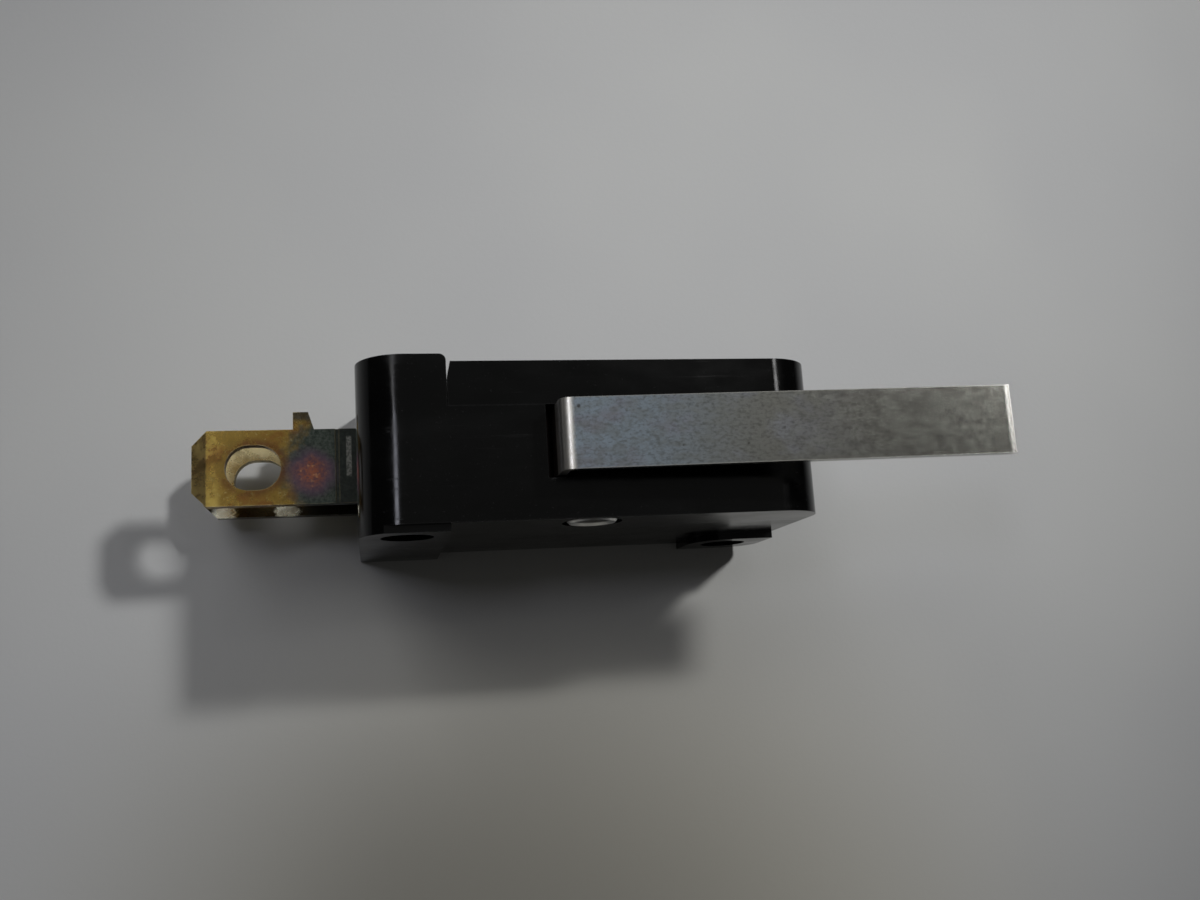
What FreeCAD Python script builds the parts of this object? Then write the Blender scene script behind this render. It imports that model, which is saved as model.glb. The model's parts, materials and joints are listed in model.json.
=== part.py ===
import FreeCAD, Part

import os

import Sketcher

# Miniature snap-action limit switch with a long flat lever and two side tab terminals.
# Every sketch measures X from the left end of the case, Y from the middle of its
# thickness and Z from its bottom face; each piece's Placement then puts the middle
# of the bottom face at the origin. Millimetres throughout.

DRIVING_SIZES = {
    # case
    "case_length": 27.8,
    "case_height": 15.9,
    "mounting_thickness": 10.3,
    "case_thickness": 9.4,
    "parting_level": 2.05,
    "wall": 1.2,
    "head_length": 5.2,
    "head_gap": 0.03,
    "head_edge_radius": 0.4,
    "corner_radius": 2.8,
    "foot_corner_radius": 2.2,
    "pad_length": 5.4,
    "pad_corner_radius": 2.6,
    "seam_notch_depth": 1.0,
    "seam_notch_width": 0.2,
    "head_ledge": 0.35,
    # mounting holes
    "mounting_hole_radius": 1.55,
    "hole_inset": 2.8,
    # inside of the case
    "post_length": 5.9,
    "post_height": 6,
    "cover_recess": 1.45,
    "rib_length": 1,
    "rib_spacing": 6,
    "slot_clearance": 0.05,
    "fine_clearance": 0.025,
    "press_margin": 0.01,
    "overlap": 1,
    # rivet that holds the cover
    "case_rivet_along": 13.65,
    "case_rivet_up": 13.75,
    "case_rivet_radius": 1,
    "case_rivet_bore_radius": 0.65,
    "case_rivet_flange_radius": 1.5,
    "case_rivet_flange": 0.45,
    "case_rivet_rim": 0.12,
    "case_rivet_dish": 0.25,
    "case_rivet_recess_radius": 1.8,
    "case_rivet_recess": 0.4,
    "case_rivet_block_width": 3,
    "case_rivet_block_wall": 0.35,
    # lever and its hinge
    "lever_pivot_along": 10.85,
    "lever_pivot_up": 13.55,
    "lever_pin_radius": 0.5,
    "lever_pin_length": 8.2,
    "running_clearance": 0.04,
    "lever_thickness": 0.5,
    "lever_width": 4.15,
    "lever_front": 2.2,
    "lever_top_at_bend": 18,
    "lever_slope": 0.0577,
    "lever_reach": 38.4,
    "lever_bend_radius": 0.7,
    "lever_slot_along": 10.87,
    "lever_slot_length": 1.63,
    "lever_slot_margin": 0.1,
    # plunger and its return spring
    "plunger_along": 23,
    "plunger_radius": 1.5,
    "plunger_top": 18.05,
    "plunger_dome": 0.35,
    "plunger_crown_radius": 0.9,
    "plunger_crown_drop": 0.07,
    "plunger_tip_radius": 0.3,
    "plunger_body_length": 3.1,
    "plunger_body_width": 3.8,
    "plunger_body_bottom": 9,
    "plunger_rest_gap": 0.15,
    "plunger_bore_radius": 1.25,
    "plunger_bore_top": 12,
    "return_spring_radius": 0.95,
    "return_spring_wire": 0.14,
    "return_spring_pitch": 0.9,
    # terminals
    "tab_width": 4.7,
    "tab_thickness": 0.8,
    "tab_length": 9.9,
    "tab_offset": 0.1,
    "tab_corner": 0.9,
    "tab_bevel": 0.22,
    "tab_bevel_length": 0.85,
    "tab_hole_from": 4.6,
    "tab_hole_length": 3.35,
    "tab_hole_width": 2.8,
    "ear_from": 2.6,
    "ear_length": 1.27,
    "ear_slant": 0.35,
    "ear_height": 1.1,
    "stake_from": 1.1,
    "stake_length": 0.22,
    "stake_depth": 0.12,
    "lower_tab_level": 2.6,
    "upper_tab_level": 7.6,
    "common_strip_end": 20.4,
    "open_strip_end": 9.9,
    "strip_front": 2.1,
    "strip_back": 1.95,
    # pivot bracket on the common terminal
    "bracket_front": 18.55,
    "bracket_thickness": 0.8,
    "bracket_base_length": 3.2,
    "bracket_width": 4.8,
    "bracket_top": 11.4,
    "bracket_slot_width": 2.4,
    "bracket_slot_bottom": 8.4,
    "notch_depth": 0.3,
    "notch_height": 0.6,
    "bracket_rivet_along": 16.9,
    "bracket_rivet_radius": 0.7,
    "bracket_rivet_head": 1.2,
    "bracket_rivet_head_height": 0.45,
    # contact blade, contacts and rest stop
    "blade_level": 10.4,
    "blade_thickness": 0.3,
    "blade_width": 3.9,
    "blade_start": 6.4,
    "blade_end": 18.75,
    "blade_window_start": 10.6,
    "contact_along": 8,
    "contact_radius": 1.4,
    "contact_dome": 0.25,
    "contact_crown_radius": 0.7,
    "contact_crown_rise": 0.06,
    "contact_thickness": 0.45,
    "contact_shank_radius": 0.6,
    "contact_tail_radius": 0.9,
    "contact_tail_height": 0.25,
    "fixed_contact_radius": 1.5,
    "fixed_contact_height": 0.7,
    "stop_level": 11,
    "stop_thickness": 0.7,
    "stop_start": 4.65,
    "stop_end": 9.4,
    "stop_width": 3.2,
    # tension spring between the blade and the plunger
    "hook_level": 11.3,
    "blade_hook_along": 10.2,
    "plunger_hook_along": 21,
    "tension_spring_radius": 0.6,
    "tension_spring_wire": 0.12,
    "tension_spring_pitch": 0.48,
    "hook_angle": 215,
    "eye_radius": 0.28,
    "lug_half_height": 0.6,
    "lug_margin": 0.5,
    "blade_lug_margin": 0.38,
    "lug_thickness": 0.5,
    "anchor_tongue_bottom": 12.35,
    "anchor_tongue_top": 13.2,
    "anchor_tongue_end": 22.9,
}

PARTS_FOLDER = "parts"
SHEET = "Sizes"
RIB_COUNT = 3


class Size:
    """A number together with the spreadsheet expression that gives it."""

    def __init__(self, value, text):
        self.value = value
        self.text = text

    def combine(self, other, sign, result):
        return Size(result, f"({self.text} {sign} {as_size(other).text})")

    def __add__(self, other):
        return self.combine(other, "+", self.value + as_size(other).value)

    def __sub__(self, other):
        return self.combine(other, "-", self.value - as_size(other).value)

    def __mul__(self, other):
        return self.combine(other, "*", self.value * as_size(other).value)

    def __truediv__(self, other):
        return self.combine(other, "/", self.value / as_size(other).value)

    def __neg__(self):
        return Size(-self.value, f"(0 - {self.text})")


def as_size(number):
    return number if isinstance(number, Size) else Size(float(number), f"{number}")


class Sizes:
    """The driving sizes, read as attributes, such as sizes.case_length."""

    def __init__(self, document):
        sheet = document.addObject("Spreadsheet::Sheet", SHEET)
        for row, (name, value) in enumerate(DRIVING_SIZES.items(), start=1):
            sheet.set(f"A{row}", name)
            sheet.set(f"B{row}", str(value))
            sheet.setAlias(f"B{row}", name)
            setattr(self, name, Size(float(value), f"{SHEET}.{name}"))
        document.recompute()


document = FreeCAD.newDocument("limit_switch")
sizes = Sizes(document)

# ---------------------------------------------------------------- places used by several pieces

back_face = sizes.mounting_thickness / 2
skin_face = sizes.case_thickness / 2
inner_front = -(skin_face - sizes.wall)
inner_back = sizes.parting_level + sizes.cover_recess
cover_start = sizes.head_length + sizes.head_gap
inner_start = cover_start + sizes.slot_clearance
inner_end = sizes.case_length - sizes.wall
inner_top = sizes.case_height - sizes.wall
post_start = sizes.case_length - sizes.post_length
pad_start = sizes.case_length - sizes.pad_length
upper_hole = (sizes.hole_inset, sizes.case_height - sizes.hole_inset)
lower_hole = (sizes.case_length - sizes.hole_inset, sizes.hole_inset)
case_rivet = (sizes.case_rivet_along, sizes.case_rivet_up)
lever_pivot = (sizes.lever_pivot_along, sizes.lever_pivot_up)
case_rivet_hole_radius = sizes.case_rivet_radius + sizes.slot_clearance
lever_pin_hole_radius = sizes.lever_pin_radius + sizes.fine_clearance
tab_front = sizes.tab_offset - sizes.tab_width / 2
tab_back = sizes.tab_offset + sizes.tab_width / 2

# ---------------------------------------------------------------- ways of making a piece


def new_body(label):
    body = document.addObject("PartDesign::Body", label)
    body.Label = label
    body.setExpression("Placement.Base.x", f"{(-sizes.case_length / 2).text}")
    return body


def origin_plane(body, role):
    return next(plane for plane in body.Origin.OriginFeatures if plane.Role == role)


def new_sketch(body, plane, level):
    """A sketch parallel to one of the body's planes, at a level along +X, +Y or +Z."""
    sketch = body.newObject("Sketcher::SketchObject", "Sketch")
    sketch.AttachmentSupport = [(origin_plane(body, plane), "")]
    sketch.MapMode = "FlatFace"
    # The XZ plane's own normal points along -Y.
    along_normal = -level if plane == "XZ_Plane" else level
    sketch.setExpression("AttachmentOffset.Base.z", along_normal.text)
    return sketch


def fix(sketch, kind, geometry, end, size):
    """Holds one coordinate of a point at a size measured from the sketch's origin."""
    start = (-1, 1, geometry, end)
    number = sketch.addConstraint(Sketcher.Constraint(kind, *start, size.value))
    sketch.setExpression(f"Constraints[{number}]", size.text)


def draw_polygon(sketch, corners):
    corners = [(as_size(across), as_size(up)) for across, up in corners]
    first = sketch.GeometryCount
    count = len(corners)
    points = [FreeCAD.Vector(across.value, up.value, 0) for across, up in corners]
    for index in range(count):
        following = points[(index + 1) % count]
        sketch.addGeometry(Part.LineSegment(points[index], following), False)
    for index in range(count):
        joined = (first + index, 2, first + (index + 1) % count, 1)
        sketch.addConstraint(Sketcher.Constraint("Coincident", *joined))
    for index, (across, up) in enumerate(corners):
        fix(sketch, "DistanceX", first + index, 1, across)
        fix(sketch, "DistanceY", first + index, 1, up)


def draw_rectangle(sketch, left, right, bottom, top):
    draw_polygon(sketch, [(left, bottom), (right, bottom), (right, top), (left, top)])


def draw_circle(sketch, centre, radius):
    across, up = as_size(centre[0]), as_size(centre[1])
    middle = FreeCAD.Vector(across.value, up.value, 0)
    circle = Part.Circle(middle, FreeCAD.Vector(0, 0, 1), radius.value)
    geometry = sketch.addGeometry(circle, False)
    fix(sketch, "DistanceX", geometry, 3, across)
    fix(sketch, "DistanceY", geometry, 3, up)
    number = sketch.addConstraint(Sketcher.Constraint("Radius", geometry, radius.value))
    sketch.setExpression(f"Constraints[{number}]", radius.text)


def add_feature(body, kind, sketch, length, against_normal):
    feature = body.newObject(f"PartDesign::{kind}", kind)
    feature.Profile = sketch
    feature.Type = 0
    feature.setExpression("Length", length.text)
    feature.Reversed = against_normal
    sketch.Visibility = False
    return feature


def pad_across(body, draw, front, back, *arguments):
    """Material between two levels of Y, from an outline drawn in X and Z."""
    front, back = as_size(front), as_size(back)
    sketch = new_sketch(body, "XZ_Plane", back)
    draw(sketch, *arguments)
    return add_feature(body, "Pad", sketch, back - front, False)


def cut_across(body, draw, front, back, *arguments):
    """Takes away what lies between two levels of Y, inside an outline in X and Z."""
    front, back = as_size(front), as_size(back)
    sketch = new_sketch(body, "XZ_Plane", front)
    draw(sketch, *arguments)
    return add_feature(body, "Pocket", sketch, back - front, False)


def pad_up(body, draw, bottom, top, *arguments):
    """Material between two levels of Z, from an outline drawn in X and Y."""
    bottom, top = as_size(bottom), as_size(top)
    sketch = new_sketch(body, "XY_Plane", bottom)
    draw(sketch, *arguments)
    return add_feature(body, "Pad", sketch, top - bottom, False)


def cut_down(body, draw, bottom, top, *arguments):
    """Takes away what lies between two levels of Z, inside an outline in X and Y."""
    bottom, top = as_size(bottom), as_size(top)
    sketch = new_sketch(body, "XY_Plane", top)
    draw(sketch, *arguments)
    return add_feature(body, "Pocket", sketch, top - bottom, False)


def cut_along(body, draw, left, right, *arguments):
    """Takes away what lies between two levels of X, inside an outline in Y and Z."""
    left, right = as_size(left), as_size(right)
    sketch = new_sketch(body, "YZ_Plane", right)
    draw(sketch, *arguments)
    return add_feature(body, "Pocket", sketch, right - left, False)


def revolve(body, plane, centre, corners):
    """A turned piece: its outline gives (radius, distance along the axis) at each corner.

    The XZ plane makes one that stands along Z; the XY plane makes one that lies along Y.
    """
    sketch = new_sketch(body, plane, as_size(0))
    sketch.setExpression("AttachmentOffset.Base.x", as_size(centre[0]).text)
    if plane == "XY_Plane":
        sketch.setExpression("AttachmentOffset.Base.z", as_size(centre[1]).text)
    draw_polygon(sketch, corners)
    feature = body.newObject("PartDesign::Revolution", "Revolution")
    feature.Profile = sketch
    feature.ReferenceAxis = (sketch, ["V_Axis"])
    feature.Angle = 360.0
    sketch.Visibility = False
    return feature


def soften(body, radius, corners, kind="Fillet", axes="XZ"):
    """Rounds or chamfers the edges through the given corners, which lie in the plane of two axes."""
    first, second = axes
    document.recompute()
    base = body.Tip
    wanted = [(as_size(along).value, as_size(up).value) for along, up in corners]
    names = []
    for number, edge in enumerate(base.Shape.Edges, start=1):
        box = edge.BoundBox
        if getattr(box, first + "Length") > 0.001 or getattr(box, second + "Length") > 0.001:
            continue
        place = (getattr(box, first + "Min"), getattr(box, second + "Min"))
        for along, up in wanted:
            if abs(place[0] - along) < 0.01 and abs(place[1] - up) < 0.01:
                names.append(f"Edge{number}")
    feature = body.newObject(f"PartDesign::{kind}", kind)
    feature.Base = (base, names)
    feature.setExpression("Radius" if kind == "Fillet" else "Size", radius.text)
    return feature


# ---------------------------------------------------------------- case


def draw_cavity(sketch):
    """The inside outline, with the post for the lower mounting hole left standing."""
    block_start = case_rivet[0] - sizes.case_rivet_block_width / 2
    block_end = case_rivet[0] + sizes.case_rivet_block_width / 2
    block_bottom = case_rivet[1] - case_rivet_hole_radius - sizes.case_rivet_block_wall
    draw_polygon(
        sketch,
        [
            (inner_start, sizes.wall),
            (post_start, sizes.wall),
            (post_start, sizes.post_height),
            (inner_end, sizes.post_height),
            (inner_end, inner_top),
            (block_end, inner_top),
            (block_end, block_bottom),
            (block_start, block_bottom),
            (block_start, inner_top),
            (inner_start, inner_top),
        ],
    )


def draw_cover_recess(sketch):
    start = cover_start + sizes.wall
    draw_polygon(
        sketch,
        [
            (start, sizes.wall),
            (post_start, sizes.wall),
            (post_start, sizes.post_height),
            (inner_end, sizes.post_height),
            (inner_end, inner_top),
            (start, inner_top),
        ],
    )


def make_housing():
    body = new_body("housing")
    height = sizes.case_height
    length = sizes.case_length
    pad_across(body, draw_rectangle, -skin_face, sizes.parting_level, 0, length, 0, height)
    pad_across(body, draw_rectangle, -back_face, back_face, 0, sizes.head_length, 0, height)
    pad_across(body, draw_rectangle, -back_face, -skin_face, pad_start, length, 0, sizes.pad_length)
    soften(body, sizes.corner_radius, [(0, height), (length, height)])
    soften(body, sizes.foot_corner_radius, [(length, 0)])
    soften(body, sizes.pad_corner_radius, [(pad_start, sizes.pad_length)])
    soften(body, sizes.head_edge_radius, [(sizes.head_length, back_face)], axes="XY")
    ledge = (0, sizes.head_length, height - sizes.head_ledge, height)
    cut_across(body, draw_rectangle, -back_face, -skin_face, *ledge)
    cut_across(body, draw_cavity, inner_front, sizes.parting_level)
    soften(body, sizes.corner_radius - sizes.wall, [(inner_end, inner_top)])
    cut_across(body, draw_circle, -back_face, back_face, upper_hole, sizes.mounting_hole_radius)
    cut_across(body, draw_circle, -back_face, back_face, lower_hole, sizes.mounting_hole_radius)
    cut_terminal_slots(body)
    cut_lever_and_plunger_openings(body)
    cut_housing_fastener_holes(body)
    add_floor_ribs(body)
    return body


def cut_seam_notch(body, edge, face):
    """Bevels the cover's upright edge beside the seam between the head and the cover."""
    mouth = edge + sizes.seam_notch_width
    wedge = [(edge, face - sizes.seam_notch_depth), (mouth, face), (edge, face)]
    cut_down(body, draw_polygon, 0, sizes.case_height, wedge)


def cut_terminal_slots(body):
    """Slots through the head for the two tabs, and a shallow seat for the rest stop."""
    front = tab_front - sizes.slot_clearance
    back = tab_back + sizes.slot_clearance
    for level in (sizes.lower_tab_level, sizes.upper_tab_level):
        bottom = level - sizes.slot_clearance
        top = level + sizes.tab_thickness + sizes.slot_clearance
        cut_along(body, draw_rectangle, 0, inner_start, front, back, bottom, top)
    half_width = sizes.stop_width / 2 + sizes.slot_clearance
    seat_start = sizes.stop_start - sizes.slot_clearance
    seat_bottom = sizes.stop_level - sizes.slot_clearance
    seat_top = sizes.stop_level + sizes.stop_thickness + sizes.slot_clearance
    seat = (-half_width, half_width, seat_bottom, seat_top)
    cut_along(body, draw_rectangle, seat_start, inner_start, *seat)


def cut_lever_and_plunger_openings(body):
    top = sizes.case_height
    slot_end = sizes.lever_slot_along + sizes.lever_slot_length
    slot_front = -(sizes.lever_front + sizes.lever_slot_margin)
    slot = (sizes.lever_slot_along, slot_end, slot_front, sizes.parting_level)
    cut_down(body, draw_rectangle, inner_top, top, *slot)
    radius = sizes.plunger_radius + sizes.running_clearance
    cut_down(body, draw_circle, inner_top, top, (sizes.plunger_along, as_size(0)), radius)


def cut_housing_fastener_holes(body):
    recess_floor = -(skin_face - sizes.case_rivet_recess)
    cut_across(body, draw_circle, -skin_face, sizes.parting_level, case_rivet, case_rivet_hole_radius)
    cut_across(
        body, draw_circle, -skin_face, recess_floor, case_rivet, sizes.case_rivet_recess_radius
    )
    pin_end = -sizes.lever_pin_length / 2
    cut_across(body, draw_circle, pin_end, inner_front, lever_pivot, lever_pin_hole_radius)


def add_floor_ribs(body):
    """Ribs on the floor that carry the common terminal's strip."""
    start = inner_start + sizes.wall
    end = start + sizes.rib_length
    top = sizes.lower_tab_level - sizes.fine_clearance
    outline = (start, end, sizes.wall, top)
    rib = pad_across(body, draw_rectangle, inner_front, sizes.parting_level, *outline)
    pattern = body.newObject("PartDesign::LinearPattern", "Ribs")
    pattern.Originals = [rib]
    pattern.Direction = (rib.Profile[0], ["H_Axis"])
    pattern.setExpression("Length", (sizes.rib_spacing * (RIB_COUNT - 1)).text)
    pattern.Occurrences = RIB_COUNT
    body.Tip = pattern


def make_cover():
    body = new_body("cover")
    height = sizes.case_height
    length = sizes.case_length
    level = sizes.parting_level
    pad_across(body, draw_rectangle, level, skin_face, cover_start, length, 0, height)
    pad_across(body, draw_rectangle, skin_face, back_face, pad_start, length, 0, sizes.pad_length)
    soften(body, sizes.corner_radius, [(length, height)])
    soften(body, sizes.foot_corner_radius, [(length, 0)])
    soften(body, sizes.pad_corner_radius, [(pad_start, sizes.pad_length)])
    cut_seam_notch(body, cover_start, skin_face)
    cut_across(body, draw_cover_recess, level, inner_back)
    cut_across(body, draw_circle, level, back_face, lower_hole, sizes.mounting_hole_radius)
    cut_across(body, draw_circle, level, skin_face, case_rivet, case_rivet_hole_radius)
    recess_floor = skin_face - sizes.case_rivet_recess
    cut_across(
        body, draw_circle, recess_floor, skin_face, case_rivet, sizes.case_rivet_recess_radius
    )
    pin_end = sizes.lever_pin_length / 2
    cut_across(body, draw_circle, inner_back, pin_end, lever_pivot, lever_pin_hole_radius)
    return body


def make_case_rivet():
    """Tubular rivet along Y, with a dished flange at each end, that clamps the cover on."""
    body = new_body("case_rivet")
    shoulder = skin_face - sizes.case_rivet_recess
    outer = shoulder + sizes.case_rivet_flange
    bore = sizes.case_rivet_bore_radius
    shank = sizes.case_rivet_radius
    flange = sizes.case_rivet_flange_radius
    rim = sizes.case_rivet_rim
    dish = outer - sizes.case_rivet_dish
    half = [(flange, shoulder), (flange, outer - rim), (flange - rim, outer), (bore, dish)]
    mirrored = [(radius, -along) for radius, along in reversed(half)]
    outline = [(shank, shoulder), *half, *mirrored, (shank, -shoulder)]
    revolve(body, "XY_Plane", case_rivet, outline)
    return body


# ---------------------------------------------------------------- lever and plunger


def make_lever():
    """Steel strip: a rolled eye round the pin, a foot up through the case, and the long arm."""
    body = new_body("lever")
    thickness = sizes.lever_thickness
    eye_bore = sizes.lever_pin_radius + sizes.running_clearance
    foot_right = lever_pivot[0] + eye_bore + thickness
    foot_left = foot_right - thickness
    top_rise = (sizes.lever_reach - foot_left) * sizes.lever_slope
    under_rise = (sizes.lever_reach - foot_right) * sizes.lever_slope
    bend_top = sizes.lever_top_at_bend
    bend_under = bend_top - thickness
    front = -sizes.lever_front
    back = front + sizes.lever_width
    strip = [
        (foot_left, lever_pivot[1]),
        (foot_right, lever_pivot[1]),
        (foot_right, bend_under),
        (sizes.lever_reach, bend_under + under_rise),
        (sizes.lever_reach, bend_top + top_rise),
        (foot_left, bend_top),
    ]
    pad_across(body, draw_polygon, front, back, strip)
    pad_across(body, draw_circle, front, back, lever_pivot, eye_bore + thickness)
    soften(body, sizes.lever_bend_radius, [(foot_left, bend_top)])
    soften(body, sizes.lever_bend_radius - thickness, [(foot_right, bend_under)])
    cut_across(body, draw_circle, front, back, lever_pivot, eye_bore)
    return body


def make_lever_pin():
    body = new_body("lever_pin")
    half = sizes.lever_pin_length / 2 - sizes.slot_clearance
    pad_across(body, draw_circle, -half, half, lever_pivot, sizes.lever_pin_radius)
    return body


def make_plunger():
    body = new_body("plunger")
    along = sizes.plunger_along
    radius = sizes.plunger_radius
    body_top = inner_top - sizes.plunger_rest_gap
    half_length = sizes.plunger_body_length / 2
    half_width = sizes.plunger_body_width / 2
    block = (along - half_length, along + half_length, -half_width, half_width)
    pad_up(body, draw_rectangle, sizes.plunger_body_bottom, body_top, *block)
    shoulder = sizes.plunger_top - sizes.plunger_dome
    root = body_top - sizes.overlap
    button = [
        (0, root),
        (radius, root),
        (radius, shoulder),
        (sizes.plunger_crown_radius, sizes.plunger_top - sizes.plunger_crown_drop),
        (sizes.plunger_tip_radius, sizes.plunger_top),
        (0, sizes.plunger_top),
    ]
    revolve(body, "XZ_Plane", (along, 0), button)
    bottom = sizes.plunger_body_bottom
    centre = (along, as_size(0))
    cut_down(body, draw_circle, bottom, sizes.plunger_bore_top, centre, sizes.plunger_bore_radius)
    margin = sizes.press_margin
    half_slot = sizes.lug_thickness / 2 + margin
    slot_bottom = sizes.anchor_tongue_bottom - margin
    slot_top = sizes.anchor_tongue_top + margin
    slot = (along - half_length, sizes.anchor_tongue_end + margin, slot_bottom, slot_top)
    cut_across(body, draw_rectangle, -half_slot, half_slot, *slot)
    return body


def make_spring_anchor():
    """Steel tongue pressed into the plunger, with the eye for the tension spring."""
    body = new_body("spring_anchor")
    half = sizes.lug_thickness / 2
    start = sizes.plunger_hook_along - sizes.lug_margin
    block_side = sizes.plunger_along - sizes.plunger_body_length / 2 - sizes.slot_clearance
    bottom = sizes.hook_level - sizes.lug_half_height
    outline = [
        (start, bottom),
        (block_side, bottom),
        (block_side, sizes.anchor_tongue_bottom),
        (sizes.anchor_tongue_end, sizes.anchor_tongue_bottom),
        (sizes.anchor_tongue_end, sizes.anchor_tongue_top),
        (start, sizes.anchor_tongue_top),
    ]
    pad_across(body, draw_polygon, -half, half, outline)
    cut_eye(body, sizes.plunger_hook_along)
    return body


def cut_eye(body, along):
    half = sizes.lug_thickness / 2
    cut_across(body, draw_circle, -half, half, (along, sizes.hook_level), sizes.eye_radius)


# ---------------------------------------------------------------- terminals


def make_terminal(label, level, strip_end):
    """Tab outside the case and strip inside it, stamped from one flat strip."""
    body = new_body(label)
    top = level + sizes.tab_thickness
    tip = -sizes.tab_length
    corner = sizes.tab_corner
    ear_end = -sizes.ear_from
    ear_start = ear_end - sizes.ear_length
    ear_top = tab_back + sizes.ear_height
    outline = [
        (tip + corner, tab_front),
        (sizes.head_length, tab_front),
        (sizes.head_length, -sizes.strip_front),
        (strip_end, -sizes.strip_front),
        (strip_end, sizes.strip_back),
        (sizes.head_length, sizes.strip_back),
        (sizes.head_length, tab_back),
        (ear_end, tab_back),
        (ear_end - sizes.ear_slant, ear_top),
        (ear_start, ear_top),
        (ear_start, tab_back),
        (tip + corner, tab_back),
        (tip, tab_back - corner),
        (tip, tab_front + corner),
    ]
    pad_up(body, draw_polygon, level, top, outline)
    cut_tab_hole(body, level, top)
    bevel_tip(body, level, top, tip)
    stake_start = -sizes.stake_from - sizes.stake_length
    groove = (stake_start, -sizes.stake_from, tab_front, tab_back)
    cut_down(body, draw_rectangle, top - sizes.stake_depth, top, *groove)
    return body


def cut_tab_hole(body, level, top):
    """The oval wire hole: a straight middle with a round end on each side."""
    radius = sizes.tab_hole_width / 2
    right = -sizes.tab_hole_from - radius
    left = -sizes.tab_hole_from - sizes.tab_hole_length + radius
    centre_line = sizes.tab_offset
    for centre in (left, right):
        cut_down(body, draw_circle, level, top, (centre, centre_line), radius)
    middle = (left, right, centre_line - radius, centre_line + radius)
    cut_down(body, draw_rectangle, level, top, *middle)


def bevel_tip(body, level, top, tip):
    """Both faces run down to a thinner edge at the tip, so that a receptacle slides on."""
    end = tip + sizes.tab_bevel_length
    upper = [(tip, top - sizes.tab_bevel), (end, top), (tip, top)]
    lower = [(tip, level), (end, level), (tip, level + sizes.tab_bevel)]
    for wedge in (upper, lower):
        cut_across(body, draw_polygon, tab_front, tab_back, wedge)


def make_common_terminal():
    body = make_terminal("common_terminal", sizes.lower_tab_level, sizes.common_strip_end)
    cut_rivet_hole(body, sizes.bracket_rivet_along, sizes.lower_tab_level, sizes.bracket_rivet_radius)
    return body


def make_open_terminal():
    body = make_terminal("normally_open_terminal", sizes.upper_tab_level, sizes.open_strip_end)
    cut_rivet_hole(body, sizes.contact_along, sizes.upper_tab_level, sizes.contact_shank_radius)
    return body


def cut_rivet_hole(body, along, level, radius):
    hole = radius + sizes.press_margin
    cut_down(body, draw_circle, level, level + sizes.tab_thickness, (along, as_size(0)), hole)


def make_pivot_bracket():
    """Angle riveted on the common terminal; two notches in its upright carry the blade."""
    body = new_body("pivot_bracket")
    front = sizes.bracket_front
    thickness = sizes.bracket_thickness
    floor = sizes.lower_tab_level + sizes.tab_thickness
    half_width = sizes.bracket_width / 2
    angle = [
        (front - sizes.bracket_base_length, floor),
        (front + thickness, floor),
        (front + thickness, sizes.bracket_top),
        (front, sizes.bracket_top),
        (front, floor + thickness),
        (front - sizes.bracket_base_length, floor + thickness),
    ]
    pad_across(body, draw_polygon, -half_width, half_width, angle)
    half_slot = sizes.bracket_slot_width / 2
    slot = (-half_slot, half_slot, sizes.bracket_slot_bottom, sizes.bracket_top)
    cut_along(body, draw_rectangle, front, front + thickness, *slot)
    middle = sizes.blade_level + sizes.blade_thickness / 2
    half_notch = sizes.notch_height / 2
    notch = (front, front + sizes.notch_depth, middle - half_notch, middle + half_notch)
    cut_across(body, draw_rectangle, -half_width, half_width, *notch)
    hole = sizes.bracket_rivet_radius + sizes.press_margin
    centre = (sizes.bracket_rivet_along, as_size(0))
    cut_down(body, draw_circle, floor, floor + thickness, centre, hole)
    return body


def make_rivet(label, along, grip_bottom, grip_top, shank, upper_head, lower_head):
    """Solid rivet standing along Z; each head is given as (radius, height)."""
    body = new_body(label)
    outline = [
        (0, grip_bottom - lower_head[1]),
        (lower_head[0], grip_bottom - lower_head[1]),
        (lower_head[0], grip_bottom),
        (shank, grip_bottom),
        (shank, grip_top),
        (upper_head[0], grip_top),
        (upper_head[0], grip_top + upper_head[1]),
        (0, grip_top + upper_head[1]),
    ]
    revolve(body, "XZ_Plane", (along, 0), outline)
    return body


def make_bracket_rivet():
    bottom = sizes.lower_tab_level
    top = bottom + sizes.tab_thickness + sizes.bracket_thickness
    head = (sizes.bracket_rivet_head, sizes.bracket_rivet_head_height)
    shank = sizes.bracket_rivet_radius
    return make_rivet("bracket_rivet", sizes.bracket_rivet_along, bottom, top, shank, head, head)


def make_fixed_contact():
    bottom = sizes.upper_tab_level
    head = (sizes.fixed_contact_radius, sizes.fixed_contact_height)
    tail = (sizes.contact_tail_radius, sizes.contact_tail_height)
    shank = sizes.contact_shank_radius
    top = bottom + sizes.tab_thickness
    return make_rivet("fixed_contact", sizes.contact_along, bottom, top, shank, head, tail)


# ---------------------------------------------------------------- snap mechanism


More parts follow.
